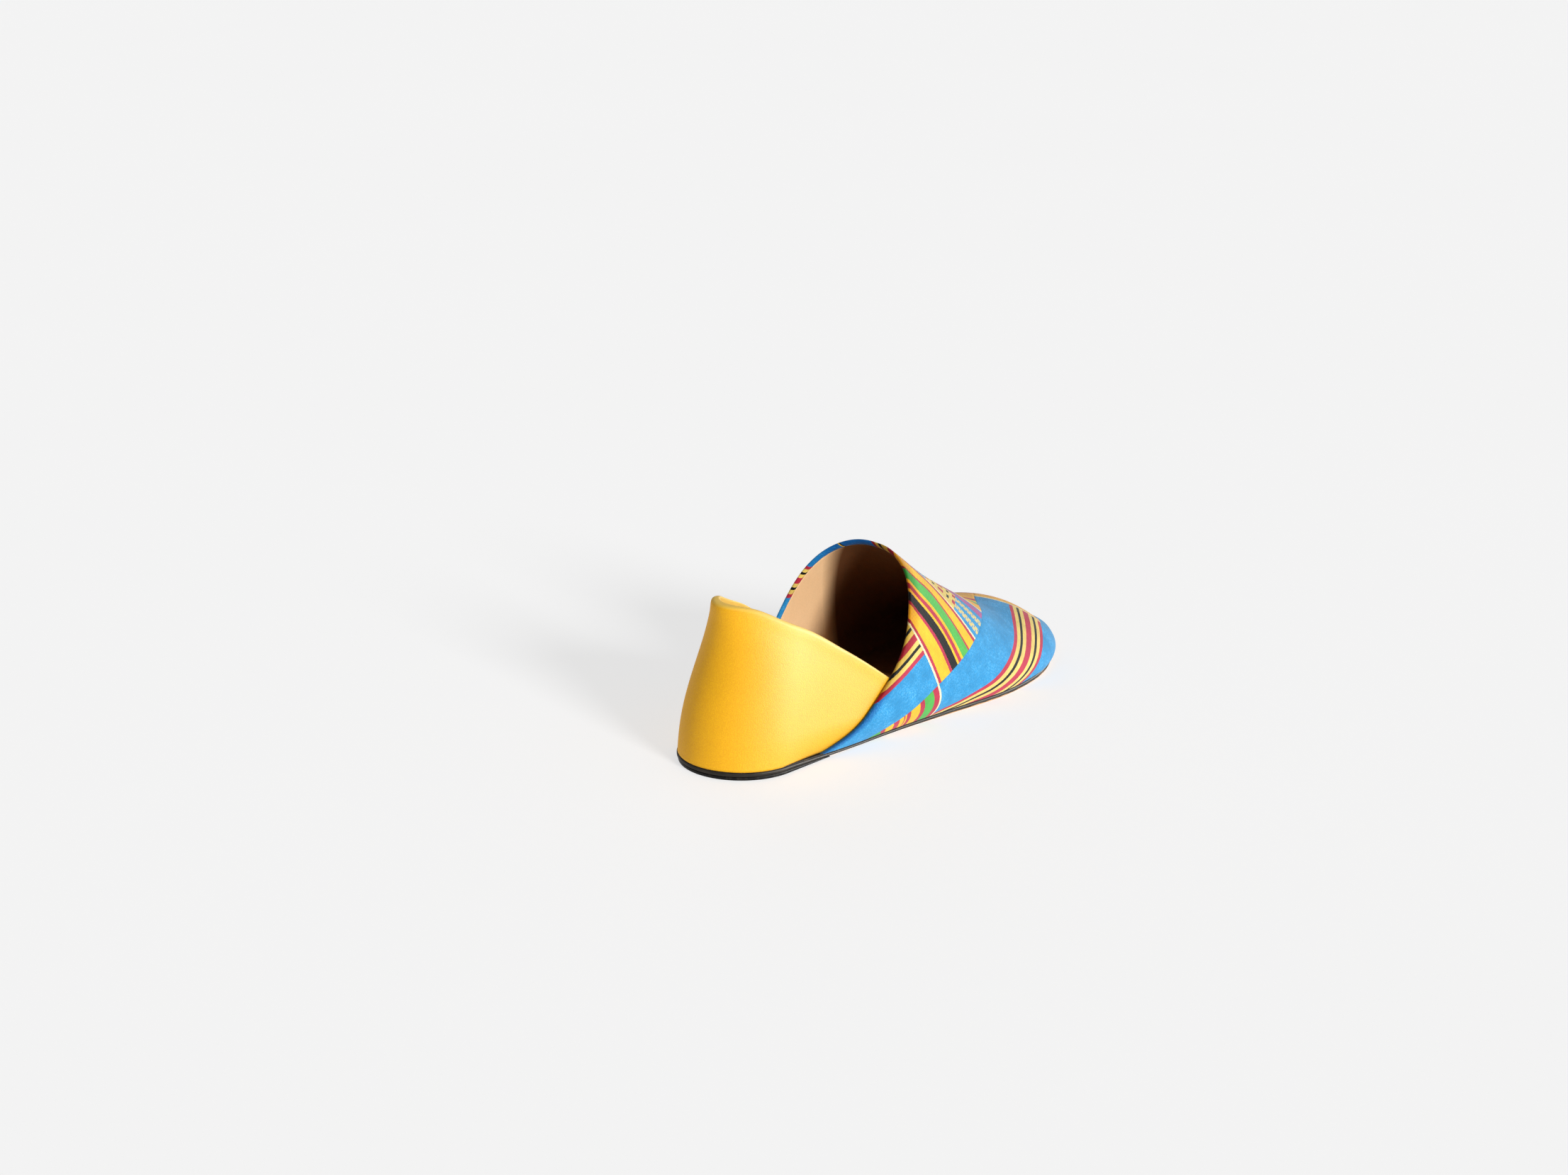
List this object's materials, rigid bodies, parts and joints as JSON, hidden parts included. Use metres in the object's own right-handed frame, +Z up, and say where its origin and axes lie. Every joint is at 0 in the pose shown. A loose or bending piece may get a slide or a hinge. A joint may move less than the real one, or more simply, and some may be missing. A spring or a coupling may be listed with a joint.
{
  "type": "mule",
  "caption": "Slip-on mule for the right foot: thin leather sole, rounded toe, strip-woven cloth vamp with a high collar, and a soft leather back folded at its top edge.",
  "frame": {"origin": "on the floor, under the middle of the shoe's box", "axes": "+X from heel to toe, +Y towards the inner side of the foot, +Z up"},
  "size_m": [0.2608, 0.0951, 0.0847],
  "materials": {
    "woven_cloth": "strip-woven cotton in blue, gold, maroon, green, black and pale yellow, over a tan leather lining",
    "back_leather": "soft yellow leather, fine grain, satin",
    "insole_leather": "smooth tan leather",
    "sole_leather": "dark dyed edge, natural tan underneath",
    "heel_pad": "black, waxed edge"
  },
  "bodies": {
    "root": {"outsole": "sole_leather", "heel_lift": "heel_pad", "insole": "insole_leather", "vamp": "woven_cloth", "back": "back_leather"}
  },
  "joints": []
}
